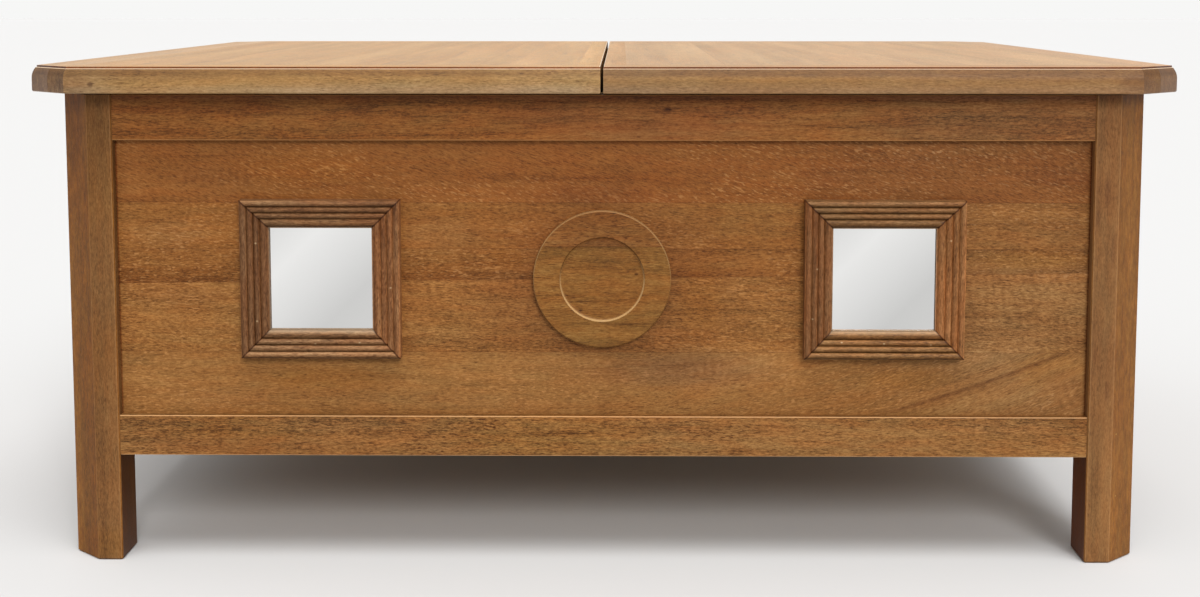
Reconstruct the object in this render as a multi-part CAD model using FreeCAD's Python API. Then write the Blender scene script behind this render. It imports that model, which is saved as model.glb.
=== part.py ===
import FreeCAD
import Part
import os

# Wooden storage coffee table: a panelled case on four posts, with a top in two halves
# that slide apart on steel runners.
# Millimetres. The front faces -Y, +Z is up, and the origin is on the floor below the
# middle of the top.

Vector = FreeCAD.Vector
x_axis = Vector(1, 0, 0)
y_axis = Vector(0, 1, 0)
z_axis = Vector(0, 0, 1)

# Overall sizes with the top closed
table_width = 1000.0
table_depth = 900.0
table_height = 440.0

# Top halves
lid_thickness = 23.0
lid_meeting_gap = 2.5
lid_overhang = 25.0
lid_running_gap = 2.0
lid_corner_cut = 40.0
lid_step_inset = 4.3
lid_step_drop = 1.6
lid_nose_radius = 1.6
lid_bow_radius = 15.0
lid_lower_radius = 1.5
lid_meeting_radius = 1.0
lipping_width = 45.0
meeting_lipping_width = 20.0
lid_cleat_thickness = 18.0
lid_cleat_height = 36.0

# Posts, which are also the legs
post_size = 48.0
post_corner_cut = 26.0
post_arris_radius = 2.0
foot_bevel = 1.5

# Rails and their joints
rail_thickness = 20.0
rail_setback = 2.0
rail_arris_radius = 1.2
top_rail_height = 40.0
bottom_rail_height = 36.0
bottom_rail_clearance = 95.0
tenon_length = 20.0
tenon_thickness = 7.0
tenon_shoulder = 4.0
mortise_relief = 1.0
joint_clearance = 0.1

# Panels in grooves
panel_thickness = 8.0
panel_recess = 8.0
groove_depth = 8.0
panel_edge_gap = 1.5

# Base board and its cleats
base_thickness = 9.0
base_below_rail = 9.0
base_gap = 1.0
base_cleat_size = 15.0

# Mirrors in reeded frames
frame_size = 140.0
frame_post_gap = 110.0
frame_moulding_width = 25.0
frame_outer_height = 12.0
frame_sight_height = 6.0
frame_outer_land = 0.4
frame_sight_land = 0.8
reed_count = 4
reed_width = 5.5
reed_rise = 2.3
mirror_thickness = 3.0
mirror_rebate = 4.0
mirror_clearance = 0.3

# Turned roundel
roundel_diameter = 121.0
roundel_thickness = 8.0
roundel_edge_bevel = 0.8
roundel_recess_diameter = 75.0
roundel_recess_depth = 3.0

# Steel runners
runner_length = 225.0
runner_middle_gap = 6.0
runner_height = 34.0
runner_fixed_depth = 10.0
runner_stand_off = 12.7
runner_sheet = 1.2
runner_bend_radius = 1.5
runner_lip = 2.5
runner_play = 0.3
batten_height = 39.0

# Places that follow from the sizes
body_width = table_width - 2 * lid_overhang
body_depth = table_depth - 2 * lid_overhang
lid_low = table_height - lid_thickness
case_top = lid_low - lid_running_gap
rail_far = rail_setback + rail_thickness
panel_near = rail_setback + panel_recess
panel_far = panel_near + panel_thickness
groove_span = (panel_near - joint_clearance, panel_far + joint_clearance)
tenon_near = rail_setback + (rail_thickness - tenon_thickness) / 2
tenon_far = tenon_near + tenon_thickness
top_rail_span = (case_top - top_rail_height, case_top)
bottom_rail_span = (bottom_rail_clearance, bottom_rail_clearance + bottom_rail_height)
top_tenon_span = (top_rail_span[0] + groove_depth + tenon_shoulder, top_rail_span[1] - tenon_shoulder)
bottom_tenon_span = (bottom_rail_span[0] + tenon_shoulder, bottom_rail_span[1] - groove_depth - tenon_shoulder)
panel_middle = (bottom_rail_span[1] + top_rail_span[0]) / 2
frame_offset = body_width / 2 - post_size - frame_post_gap - frame_size / 2
base_high = bottom_rail_span[1] - base_below_rail
base_low = base_high - base_thickness
runner_middle = case_top - batten_height / 2


def block(x, y, z):
    """A block between the low and high value on each axis."""
    corner = Vector(x[0], y[0], z[0])
    return Part.makeBox(x[1] - x[0], y[1] - y[0], z[1] - z[0], corner)


def prism(outline, low, high):
    """An upright prism over an outline of (x, y) points."""
    corners = [Vector(x, y, low) for x, y in outline]
    face = Part.Face(Part.makePolygon(corners + corners[:1]))
    return face.extrude(Vector(0, 0, high - low))


def arc(begin, end, centre):
    """The shorter arc between two points round a centre."""
    middle = ((begin + end) / 2 - centre).normalize() * (begin - centre).Length
    return Part.Arc(begin, centre + middle, end).toShape()


def edges_along(shape, direction):
    """The straight edges of a shape that run along a direction."""
    chosen = []
    for edge in shape.Edges:
        run = edge.Vertexes[-1].Point - edge.Vertexes[0].Point
        if run.Length > 0 and abs(abs(run.normalize().dot(direction)) - 1) < 1e-6:
            chosen.append(edge)
    return chosen


def widened(span, margin):
    """A span with the same margin added at both ends."""
    return (span[0] - margin, span[1] + margin)


def corner_post():
    """The front left post, cut for the tenons and panels of the two sides that meet in it."""
    outline = [
        (post_corner_cut, 0),
        (post_size, 0),
        (post_size, post_size),
        (0, post_size),
        (0, post_corner_cut),
    ]
    post = prism(outline, 0, case_top)
    post = post.makeFillet(post_arris_radius, edges_along(post, z_axis))
    foot_edges = [edge for edge in post.Edges if edge.BoundBox.ZMax < joint_clearance]
    post = post.makeChamfer(foot_bevel, foot_edges)
    mortise_reach = (post_size - tenon_length - mortise_relief, post_size)
    mortise_width = widened((tenon_near, tenon_far), joint_clearance)
    groove_reach = (post_size - groove_depth, post_size)
    groove_height = (bottom_rail_span[1] - groove_depth, top_rail_span[0] + groove_depth)
    sockets = [(groove_reach, groove_span, groove_height)]
    for span in (top_tenon_span, bottom_tenon_span):
        sockets.append((mortise_reach, mortise_width, widened(span, joint_clearance)))
    for reach, width, height in sockets:
        post = post.cut(block(reach, width, height))
        post = post.cut(block(width, reach, height))
    post.translate(Vector(-body_width / 2, -body_depth / 2, 0))
    return post


def rail(clear, span, tenon_span, groove_height):
    """A rail between two posts, grooved for the panel, with a tenon at each end.

    It lies on the front side's place: x along the rail, y inwards from the faces of the posts.
    """
    run = (-clear / 2, clear / 2)
    bar = block(run, (rail_setback, rail_far), span)
    bar = bar.makeFillet(rail_arris_radius, edges_along(bar, x_axis))
    bar = bar.cut(block(run, groove_span, groove_height))
    tenons = block(widened(run, tenon_length), (tenon_near, tenon_far), tenon_span)
    return bar.fuse(tenons).removeSplitter()


def panel(clear):
    """A panel that sits in the grooves of two rails and two posts."""
    reach = groove_depth - panel_edge_gap
    run = widened((-clear / 2, clear / 2), reach)
    height = widened((bottom_rail_span[1], top_rail_span[0]), reach)
    return block(run, (panel_near, panel_far), height)


def side_pieces(side, clear):
    """The rails, panel and base cleat of one side, in the front side's place."""
    run = (-clear / 2, clear / 2)
    top_groove = (top_rail_span[0], top_rail_span[0] + groove_depth)
    bottom_groove = (bottom_rail_span[1] - groove_depth, bottom_rail_span[1])
    cleat_height = (base_low - base_cleat_size, base_low)
    return {
        side + "_top_rail": rail(clear, top_rail_span, top_tenon_span, top_groove),
        side + "_bottom_rail": rail(clear, bottom_rail_span, bottom_tenon_span, bottom_groove),
        side + "_panel": panel(clear),
        side + "_base_cleat": block(run, (rail_far, rail_far + base_cleat_size), cleat_height),
    }


def runner_batten(clear):
    """The batten that brings the fixed runners level with the inner faces of the posts."""
    return block((-clear / 2, clear / 2), (rail_far, post_size), (case_top - batten_height, case_top))


def base_board():
    """The floor of the case, notched round the four posts."""
    half_x = body_width / 2 - rail_far - base_gap
    half_y = body_depth / 2 - rail_far - base_gap
    notch_x = body_width / 2 - post_size - base_gap
    notch_y = body_depth / 2 - post_size - base_gap
    height = (base_low, base_high)
    lengthways = block((-notch_x, notch_x), (-half_y, half_y), height)
    crossways = block((-half_x, half_x), (-notch_y, notch_y), height)
    return lengthways.fuse(crossways).removeSplitter()


def edge_slab(point, inward):
    """A slab as thick as a lid, with the lid's moulding along the straight side through a point.

    The side rises upright, bows back to a small nose and ends with a step above it.
    """
    along = z_axis.cross(inward)
    reach = table_width + table_depth
    start = point - along * reach
    step_foot = table_height - lid_step_drop
    nose_middle = step_foot - lid_nose_radius
    bow_reach = lid_bow_radius - lid_nose_radius
    bow_low = nose_middle - (bow_reach ** 2 - (lid_bow_radius - lid_step_inset) ** 2) ** 0.5

    def at(depth, height):
        return start + inward * depth + z_axis * height

    nose_centre = at(lid_step_inset, nose_middle)
    bow_centre = at(lid_bow_radius, bow_low)
    bow_high = nose_centre + (nose_centre - bow_centre) / bow_reach * lid_nose_radius
    corners = [
        at(lid_step_inset, step_foot),
        at(lid_step_inset, table_height),
        at(reach, table_height),
        at(reach, lid_low),
        at(lid_lower_radius, lid_low),
    ]
    edges = [Part.makeLine(a, b) for a, b in zip(corners, corners[1:])]
    side_low, side_high = at(0, lid_low + lid_lower_radius), at(0, bow_low)
    edges.append(arc(corners[-1], side_low, at(lid_lower_radius, lid_low + lid_lower_radius)))
    edges.append(Part.makeLine(side_low, side_high))
    edges.append(arc(side_high, bow_high, bow_centre))
    edges.append(arc(bow_high, corners[0], nose_centre))
    return Part.Face(Part.Wire(edges)).extrude(along * 2 * reach)


def left_lid():
    """The left half of the top in one piece, moulded on its three outer sides and two cut corners."""
    end, meeting = -table_width / 2, -lid_meeting_gap / 2
    front, back = -table_depth / 2, table_depth / 2
    lid = block((end, meeting), (front, back), (lid_low, table_height))
    meeting_edges = [edge for edge in edges_along(lid, y_axis) if edge.CenterOfMass.x > end]
    lid = lid.makeFillet(lid_meeting_radius, meeting_edges)
    slabs = [
        edge_slab(Vector(end, front, 0), y_axis),
        edge_slab(Vector(end + lid_corner_cut, front, 0), Vector(1, 1, 0).normalize()),
        edge_slab(Vector(end, front, 0), x_axis),
        edge_slab(Vector(end + lid_corner_cut, back, 0), Vector(1, -1, 0).normalize()),
        edge_slab(Vector(end, back, 0), -y_axis),
    ]
    for slab in slabs:
        lid = lid.common(slab)
    return lid


def left_lid_pieces():
    """The left half of the top as its board, its four lippings and its two cleats."""
    end, meeting = -table_width / 2, -lid_meeting_gap / 2
    front, back = -table_depth / 2, table_depth / 2
    inner_end, inner_meeting = end + lipping_width, meeting - meeting_lipping_width
    inner_front, inner_back = front + lipping_width, back - lipping_width
    outlines = {
        "left_lid_board": [
            (inner_end, inner_front),
            (inner_meeting, inner_front),
            (inner_meeting, inner_back),
            (inner_end, inner_back),
        ],
        "left_lid_front_lipping": [
            (end, front),
            (meeting, front),
            (meeting, inner_front),
            (inner_end, inner_front),
        ],
        "left_lid_back_lipping": [
            (end, back),
            (inner_end, inner_back),
            (meeting, inner_back),
            (meeting, back),
        ],
        "left_lid_end_lipping": [
            (end, front),
            (inner_end, inner_front),
            (inner_end, inner_back),
            (end, back),
        ],
        "left_lid_meeting_lipping": [
            (inner_meeting, inner_front),
            (meeting, inner_front),
            (meeting, inner_back),
            (inner_meeting, inner_back),
        ],
    }
    whole = left_lid()
    pieces = {}
    for name, outline in outlines.items():
        pieces[name] = whole.common(prism(outline, lid_low, table_height))
    near = -body_depth / 2 + post_size + runner_stand_off
    cleat = block(runner_run(), (near, near + lid_cleat_thickness), (lid_low - lid_cleat_height, lid_low))
    pieces["left_lid_front_cleat"] = cleat
    pieces["left_lid_back_cleat"] = cleat.mirror(Vector(), y_axis)
    return pieces


def runner_run():
    """Where the left runners lie along the table with the top closed."""
    return (-runner_middle_gap / 2 - runner_length, -runner_middle_gap / 2)


def channel(near, far, height):
    """A rolled steel channel that is open on its far side, between two lips."""
    run = runner_run()
    low, high = runner_middle - height / 2, runner_middle + height / 2
    outside = block(run, (near, far), (low, high))
    outside = outside.makeFillet(runner_bend_radius, edges_along(outside, x_axis))
    inner_span = (low + runner_sheet, high - runner_sheet)
    hollow = block(run, (near + runner_sheet, far - runner_sheet), inner_span)
    mouth = block(run, (near + runner_sheet, far), widened(inner_span, -runner_lip))
    return outside.cut(hollow.fuse(mouth))


def hat(near, far, flange_height, crown_height):
    """A rolled steel hat section with its two flanges on the near side."""
    run = runner_run()
    middle = (runner_middle, runner_middle)
    flanges = block(run, (near, near + runner_sheet), widened(middle, flange_height / 2))
    crown = block(run, (near, far), widened(middle, crown_height / 2))
    hollow = block(run, (near, far - runner_sheet), widened(middle, crown_height / 2 - runner_sheet))
    return flanges.fuse(crown).cut(hollow).removeSplitter()


def left_runners():
    """The three nested parts of the left runners, each as a front and back pair."""
    wall = runner_sheet + runner_play
    near = -body_depth / 2 + post_size
    far = near + runner_fixed_depth
    middle_height = runner_height - 2 * wall
    flange_height = middle_height - 2 * wall
    crown_height = middle_height - 2 * (runner_sheet + runner_lip + runner_play)
    flange_near = far - 2 * wall - runner_sheet
    front_parts = {
        "left_fixed_runners": channel(near, far, runner_height),
        "left_middle_runners": channel(near + wall, far - wall, middle_height),
        "left_lid_runners": hat(flange_near, near + runner_stand_off, flange_height, crown_height),
    }
    pairs = {}
    for name, part in front_parts.items():
        pairs[name] = Part.makeCompound([part, part.mirror(Vector(), y_axis)])
    return pairs


def moulding():
    """The top moulding of a mirror frame, mitred at both ends, round a centre at the origin.

    Its back lies on y = 0, and its reeds step down from the outer edge to the mirror.
    The reed beside the mirror takes the width that the others leave.
    """
    half = frame_size / 2
    width = frame_moulding_width

    def at(inward, height):
        return Vector(-half, -height, half - inward)

    reeds_begin = at(frame_outer_land, frame_outer_height)
    reeds_end = at(width - frame_sight_land, frame_sight_height)
    fall = (reeds_end - reeds_begin) / (width - frame_outer_land - frame_sight_land)
    rise = fall.cross(x_axis).normalize() * reed_rise
    grooves = [reeds_begin + fall * reed_width * number for number in range(reed_count)]
    grooves.append(reeds_end)
    edges = [
        Part.makeLine(at(0, 0), at(0, frame_outer_height)),
        Part.makeLine(at(0, frame_outer_height), reeds_begin),
    ]
    for begin, end in zip(grooves, grooves[1:]):
        edges.append(Part.Arc(begin, (begin + end) / 2 + rise, end).toShape())
    rebate_height = mirror_thickness + mirror_clearance
    corners = [
        reeds_end,
        at(width, frame_sight_height),
        at(width, rebate_height),
        at(width - mirror_rebate, rebate_height),
        at(width - mirror_rebate, 0),
        at(0, 0),
    ]
    edges.extend(Part.makeLine(a, b) for a, b in zip(corners, corners[1:]))
    strip = Part.Face(Part.Wire(edges)).extrude(x_axis * frame_size)
    mitres = [Vector(-half, 0, half), Vector(half, 0, half), Vector()]
    wedge = Part.Face(Part.makePolygon(mitres + mitres[:1]))
    return strip.common(wedge.extrude(-y_axis * 2 * frame_outer_height))


def mirror_pieces(name, x):
    """A mirror in its frame of four mouldings, on the front panel at a distance from the middle."""
    place = Vector(x, -body_depth / 2 + panel_near, panel_middle)
    glass_half = frame_size / 2 - frame_moulding_width + mirror_rebate - mirror_clearance
    glass_span = (-glass_half, glass_half)
    pieces = {name: block(glass_span, (-mirror_thickness, 0), glass_span)}
    for turn, edge in enumerate(("top", "right", "bottom", "left")):
        piece = moulding()
        piece.rotate(Vector(), y_axis, 90 * turn)
        pieces[name + "_" + edge + "_moulding"] = piece
    for piece in pieces.values():
        piece.translate(place)
    return pieces


def roundel():
    """The turned roundel on the middle of the front panel, with a coved recess in its face."""
    radius = roundel_diameter / 2
    recess = roundel_recess_diameter / 2
    floor = roundel_thickness - roundel_recess_depth

    def at(out, height):
        return Vector(out, -height, 0)

    edge_begin = at(radius, roundel_thickness - roundel_edge_bevel)
    edge_end = at(radius - roundel_edge_bevel, roundel_thickness)
    cove_begin = at(recess, roundel_thickness)
    cove_end = at(recess - roundel_recess_depth, floor)
    outline = Part.Wire([
        Part.makeLine(at(0, 0), at(radius, 0)),
        Part.makeLine(at(radius, 0), edge_begin),
        Part.makeLine(edge_begin, edge_end),
        Part.makeLine(edge_end, cove_begin),
        arc(cove_begin, cove_end, at(recess - roundel_recess_depth, roundel_thickness)),
        Part.makeLine(cove_end, at(0, floor)),
        Part.makeLine(at(0, floor), at(0, 0)),
    ])
    disc = Part.Face(outline).revolve(Vector(), y_axis, 360)
    disc.translate(Vector(0, -body_depth / 2 + panel_near, panel_middle))
    return disc


def case_pieces():
    """Posts, sides, battens and base board of the case."""
    post = corner_post()
    right_post = post.mirror(Vector(), x_axis)
    pieces = {
        "front_left_post": post,
        "front_right_post": right_post,
        "back_left_post": post.mirror(Vector(), y_axis),
        "back_right_post": right_post.mirror(Vector(), y_axis),
        "base_board": base_board(),
    }
    long_clear = body_width - 2 * post_size
    short_clear = body_depth - 2 * post_size
    sides = {
        "front": (long_clear, 0, Vector(0, -body_depth / 2, 0)),
        "back": (long_clear, 180, Vector(0, body_depth / 2, 0)),
        "left": (short_clear, -90, Vector(-body_width / 2, 0, 0)),
        "right": (short_clear, 90, Vector(body_width / 2, 0, 0)),
    }
    for side, (clear, turn, place) in sides.items():
        fitted = side_pieces(side, clear)
        if side in ("front", "back"):
            fitted[side + "_runner_batten"] = runner_batten(clear)
        for name, piece in fitted.items():
            piece.rotate(Vector(), z_axis, turn)
            piece.translate(place)
            pieces[name] = piece
    return pieces


def table_pieces():
    """Every piece of the table by name."""
    pieces = case_pieces()
    pieces.update(mirror_pieces("left_mirror", -frame_offset))
    pieces.update(mirror_pieces("right_mirror", frame_offset))
    pieces["roundel"] = roundel()
    left_pieces = left_lid_pieces()
    left_pieces.update(left_runners())
    for name, piece in left_pieces.items():
        pieces[name] = piece
        pieces[name.replace("left", "right", 1)] = piece.mirror(Vector(), x_axis)
    return pieces


os.makedirs("parts", exist_ok=True)
for node, solid in table_pieces().items():
    solid.exportStep("parts/" + node + ".step")
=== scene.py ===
import bpy
import math
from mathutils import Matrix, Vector


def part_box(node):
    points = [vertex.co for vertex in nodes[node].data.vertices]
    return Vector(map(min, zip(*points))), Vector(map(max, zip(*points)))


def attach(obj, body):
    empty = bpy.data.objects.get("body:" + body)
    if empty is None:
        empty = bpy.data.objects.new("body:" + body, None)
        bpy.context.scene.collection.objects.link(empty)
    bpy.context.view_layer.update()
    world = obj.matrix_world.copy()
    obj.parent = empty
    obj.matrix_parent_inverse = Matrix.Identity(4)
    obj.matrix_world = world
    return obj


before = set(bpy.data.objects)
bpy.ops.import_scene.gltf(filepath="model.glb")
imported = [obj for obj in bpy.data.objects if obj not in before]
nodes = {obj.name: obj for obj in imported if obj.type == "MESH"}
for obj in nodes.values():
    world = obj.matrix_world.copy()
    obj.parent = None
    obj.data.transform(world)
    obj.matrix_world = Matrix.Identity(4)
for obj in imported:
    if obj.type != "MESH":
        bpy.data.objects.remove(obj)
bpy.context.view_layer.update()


# Camera in front of the table, a little above the lid and tipped down
cameraSettings = {
    "place": (0.016, -1.970, 0.499),
    "tipDown": 5.87,
    "turnLeft": 0.66,
    "focalPixels": 1786.0,  # over the width of the picture
    "pictureWidth": 1200.0,
    "sensorWidth": 36.0,
    "shift": -0.098,
}


def setCamera(settings):
    data = bpy.data.cameras.new("frontCamera")
    data.sensor_width = settings["sensorWidth"]
    data.lens = settings["focalPixels"] / settings["pictureWidth"] * settings["sensorWidth"]
    data.shift_y = settings["shift"]
    data.dof.use_dof = False
    camera = bpy.data.objects.new("frontCamera", data)
    camera.location = settings["place"]
    tip = math.radians(90 - settings["tipDown"])
    camera.rotation_euler = (tip, 0, math.radians(settings["turnLeft"]))
    bpy.context.scene.collection.objects.link(camera)
    bpy.context.scene.camera = camera


setCamera(cameraSettings)
bpy.context.scene.view_settings.view_transform = "Standard"
print("camera set")


# Shader helpers
def addNode(tree, kind, inputs=None, **options):
    node = tree.nodes.new("ShaderNode" + kind)
    for option, value in options.items():
        setattr(node, option, value)
    for socket, value in (inputs or {}).items():
        if isinstance(value, bpy.types.NodeSocket):
            tree.links.new(value, node.inputs[socket])
        else:
            node.inputs[socket].default_value = value
    return node


def maths(tree, operation, first, second=0.0, third=0.0):
    return addNode(tree, "Math", {0: first, 1: second, 2: third}, operation=operation).outputs[0]


def add(tree, first, second):
    return maths(tree, "ADD", first, second)


def less(tree, first, second):
    return maths(tree, "SUBTRACT", first, second)


def times(tree, first, second):
    return maths(tree, "MULTIPLY", first, second)


def larger(tree, first, second):
    return maths(tree, "MAXIMUM", first, second)


def absolute(tree, value):
    return maths(tree, "ABSOLUTE", value)


def vectorMaths(tree, operation, first, second):
    return addNode(tree, "VectorMath", {0: first, 1: second}, operation=operation).outputs[0]


def dot(tree, first, second):
    return addNode(tree, "VectorMath", {0: first, 1: second}, operation="DOT_PRODUCT").outputs["Value"]


def length(tree, vector):
    return addNode(tree, "VectorMath", {0: vector}, operation="LENGTH").outputs["Value"]


def heightOf(tree, vector):
    return dot(tree, vector, (0, 0, 1))


def axes(tree, vector):
    return addNode(tree, "SeparateXYZ", {0: vector}).outputs


def liftBy(tree, value):
    return addNode(tree, "CombineXYZ", {"Z": value}).outputs[0]


def allThree(tree, value):
    return addNode(tree, "CombineXYZ", {axis: value for axis in (0, 1, 2)}).outputs[0]


def noise(tree, vector, scale, detail, roughness, output="Fac"):
    stretched = vectorMaths(tree, "MULTIPLY", vector, scale)
    inputs = {"Vector": stretched, "Scale": 1.0, "Detail": detail, "Roughness": roughness}
    return addNode(tree, "TexNoise", inputs).outputs[output]


# Noise that swings either side of zero
def swing(tree, vector, amount, scale, detail, roughness):
    value = noise(tree, vector, scale, detail, roughness)
    return times(tree, less(tree, value, 0.5), amount)


# Masks that rise or fall smoothly from a low value to a high one
def between(tree, value, low, high):
    inputs = {"Value": value, "From Min": low, "From Max": high}
    return addNode(tree, "MapRange", inputs, interpolation_type="SMOOTHSTEP").outputs[0]


def outside(tree, value, low, high):
    return less(tree, 1.0, between(tree, value, low, high))


def ramp(tree, value, stops, steps=False):
    node = addNode(tree, "ValToRGB", {"Fac": value})
    node.color_ramp.interpolation = "CONSTANT" if steps else "LINEAR"
    colours = node.color_ramp.elements
    while len(colours) < len(stops):
        colours.new(1.0)
    for element, (place, colour) in zip(colours, stops):
        element.position = place
        element.color = (*colour, 1)
    return node.outputs["Color"]


def blend(tree, kind, amount, first, second):
    if isinstance(second, tuple):
        second = (*second, 1)
    node = addNode(tree, "Mix", {0: amount, 6: first, 7: second}, data_type="RGBA", blend_type=kind)
    return node.outputs[2]


def shade(tree, colour, mask, gain):
    return blend(tree, "MULTIPLY", mask, colour, gain)


def cover(tree, colour, mask, paint):
    return blend(tree, "MIX", mask, colour, paint)


# Screen values from 0 to 255, made linear
def screenColour(red, green, blue):
    def linear(value):
        value = value / 255
        return value / 12.92 if value <= 0.04045 else ((value + 0.055) / 1.055) ** 2.4
    return (linear(red), linear(green), linear(blue))


def newFinish(name):
    finish = bpy.data.materials.new(name)
    finish.use_nodes = True
    return finish, finish.node_tree, finish.node_tree.nodes["Principled BSDF"]


def dress(nodeName, finish):
    materials = nodes[nodeName].data.materials
    materials.clear()
    materials.append(finish)


# Soft studio light: one broad light low on the front right, one overhead, and a pale surround
lightSettings = {
    "surround": [
        (0.0, (0.93, 0.93, 0.92)),
        (0.04, (0.90, 0.90, 0.89)),
        (0.25, (0.62, 0.62, 0.62)),
        (0.9, (0.75, 0.74, 0.73)),
    ],
    "lamps": {
        "frontLight": {"towards": (0.22, -0.87, 0.44), "strength": 1.75, "spread": 18.0},
        "overheadLight": {"towards": (0.10, -0.36, 0.93), "strength": 2.0, "spread": 36.0},
    },
}


def setLights(settings):
    world = bpy.data.worlds.new("paleSurround")
    world.use_nodes = True
    tree = world.node_tree
    direction = addNode(tree, "TexCoord").outputs["Generated"]
    colour = ramp(tree, axes(tree, direction)["Z"], settings["surround"])
    tree.links.new(colour, tree.nodes["Background"].inputs["Color"])
    bpy.context.scene.world = world
    for name, lamp in settings["lamps"].items():
        data = bpy.data.lights.new(name, "SUN")
        data.energy = lamp["strength"]
        data.angle = math.radians(lamp["spread"])
        light = bpy.data.objects.new(name, data)
        light.rotation_euler = Vector(lamp["towards"]).to_track_quat("Z", "Y").to_euler()
        bpy.context.scene.collection.objects.link(light)


setLights(lightSettings)
print("lights set")


# Wood with tone bands, streaks, fibres and pores along its grain
grainTurns = {"x": (0, 0, 0), "y": (0, 0, -math.pi / 2), "z": (0, math.pi / 2, 0)}
grainLines = {"x": (1, 0, 0), "y": (0, 1, 0), "z": (0, 0, 1)}
seedStep = (0.37, 0.23, 0.31)  # how far one seed moves the grain
boardStep = (1.7, 0.9, 1.3)  # and one board
plainWood = {
    "seed": 0.0,
    "grain": "x",
    "wander": 0.007,  # how far the grain drifts sideways
    "curl": 0.0022,  # and how far it wriggles
    "bands": 0.5,
    "streaks": 0.4,
    "fibres": 0.7,
    "mottle": 0.2,
    "speckle": 0.8,
    "pores": 0.65,
    "flecks": 0.0,  # pale dashes
    "darkLines": 0.3,
    "warmth": 0.6,
    "ripple": 0.0,
    "rippleTilt": (1, 0, 0.2),
    "rippleLength": 0.008,
    "rippleStray": 16.0,
    "endGrain": 0.3,
    "edges": None,
    "edgeWear": 0.4,
    "bleach": None,  # painted light and shade: how much paler it is where it faces up, and darker underneath
    "faded": None,  # painted sheen: colour gain on level upper faces
    "inside": None,  # painted shade: colour gain on faces of the legs that look in under the table
    "specular": 0.1,
    "lacquer": 0.0,
    "lacquerRoughness": 0.3,
    "roughness": 0.46,
    "roughnessSwing": 0.16,
    "relief": 0.00014,
    "reliefStrength": 0.4,
}
# Scale along and across the grain, detail and roughness
grainNoise = {
    "wander": ((2.2, 9, 9), 1.0, 0.5),
    "curl": ((16, 50, 50), 1.0, 0.5),
    "bands": ((1.6, 30, 30), 2.0, 0.5),
    "streaks": ((7, 190, 190), 4.0, 0.65),
    "fibres": ((120, 1050, 1050), 3.0, 0.7),
    "mottle": ((42, 75, 75), 3.0, 0.6),
    "speckle": ((280, 880, 880), 2.0, 0.75),
    "rippleStray": ((14, 30, 30), 2.0, 0.5),
    "ripplePatches": ((5, 14, 14), 1.0, 0.5),
    "warmBands": ((3, 18, 18), 2.0, 0.5),
    "warmStreaks": ((28, 150, 150), 2.0, 0.5),
    "pores": ((170, 1250, 1250), 1.0, 0.5),
    "porePatches": ((6, 24, 24), 1.0, 0.5),
    "flecks": ((200, 780, 780), 1.0, 0.5),
    "endGrain": ((380, 380, 170), 2.0, 0.7),
    "cutFace": ((260, 260, 80), 3.0, 0.7),
}
# Low and high ends of the masks, by noise value
noiseLimits = {
    "ripplePatches": (0.52, 0.68),
    "darkLines": (0.28, 0.40),
    "pores": (0.56, 0.68),
    "porePatches": (0.38, 0.62),
    "flecks": (0.57, 0.70),
    "fleckPatches": (0.42, 0.58),
}
# By distance, in metres
spanLimits = {
    "joint": (0.0001, 0.0008),
    "jointShadow": (0.001, 0.008),
    "sweep": (0.0004, 0.0034),
    "sweepStart": (0.2, 0.3),
    "mitre": (0.0004, 0.0013),
    "corner": (0.0004, 0.0020),
    "hem": (0.001, 0.010),
    "legFade": 0.004,
}
# By the direction of the face
faceLimits = {
    "endGrain": (0.35, 0.8),
    "faded": (0.82, 0.99),
    "riser": (0.3, 0.8),
    "bowLow": (0.08, 0.35),
    "bowHigh": (0.72, 0.9),
    "slant": (0.44, 0.49),
    "inward": (-0.3, -0.1),
    "arrisLow": (0.05, 0.2),
    "arrisHigh": (0.40, 0.48),
    "turned": (0.6, 0.97),
    "turnedLit": (-0.5, 0.4),
    "noseLow": (0.7, 0.85),
    "noseHigh": (0.97, 0.995),
    "level": (0.03, 0.22),
}
# Colour gains of the grain, joints, end grain and the lid's step, of painted shade in the panel's corners and
# on the lid's bowed edge, and of painted bounce light on the lid's lower rim
paintGains = {
    "darkLines": (0.42, 0.33, 0.27),
    "pores": (0.40, 0.31, 0.25),
    "joint": (0.40, 0.26, 0.20),
    "corner": (0.54, 0.38, 0.30),
    "endGrain": (0.36, 0.27, 0.20),
    "step": (0.60, 0.36, 0.30),
    "bow": (0.68, 0.62, 0.52),
    "hem": (0.98, 1.04, 1.30),
}
# Colour gains in the middle of a spot; besides real marks, the spots also paint shadow, light and sheen
spotGains = {
    "knots": (0.48, 0.42, 0.40),
    "stains": (0.80, 0.75, 0.77),
    "paleSpots": (1.13, 1.20, 1.34),
    "coolSpots": (0.96, 1.08, 1.40),
    "warmSpots": (1.05, 0.99, 0.82),
}
spotCore = 0.3  # of a spot's size, at full strength
toneStops = (0.22, 0.5, 0.78)
warmStops = [(0.35, (1.06, 0.94, 0.84)), (0.65, (0.95, 1.04, 1.10))]
cutFaceStops = [(0.35, (0.80, 0.77, 0.72)), (0.65, (1.20, 1.23, 1.28))]
poreShare = {"everywhere": 0.5, "patches": 0.7}
jointStrength = 0.3
endFlecks = {"level": 0.92, "swing": 2.0}
fillerPaint = {"colour": screenColour(206, 180, 142), "cover": 0.35}
turnedLight = (-0.1, 0, 1)  # the side from which light falls on turned edges, for their painted highlight
paintedLightDirection = (0.3, 0, 1)


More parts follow.
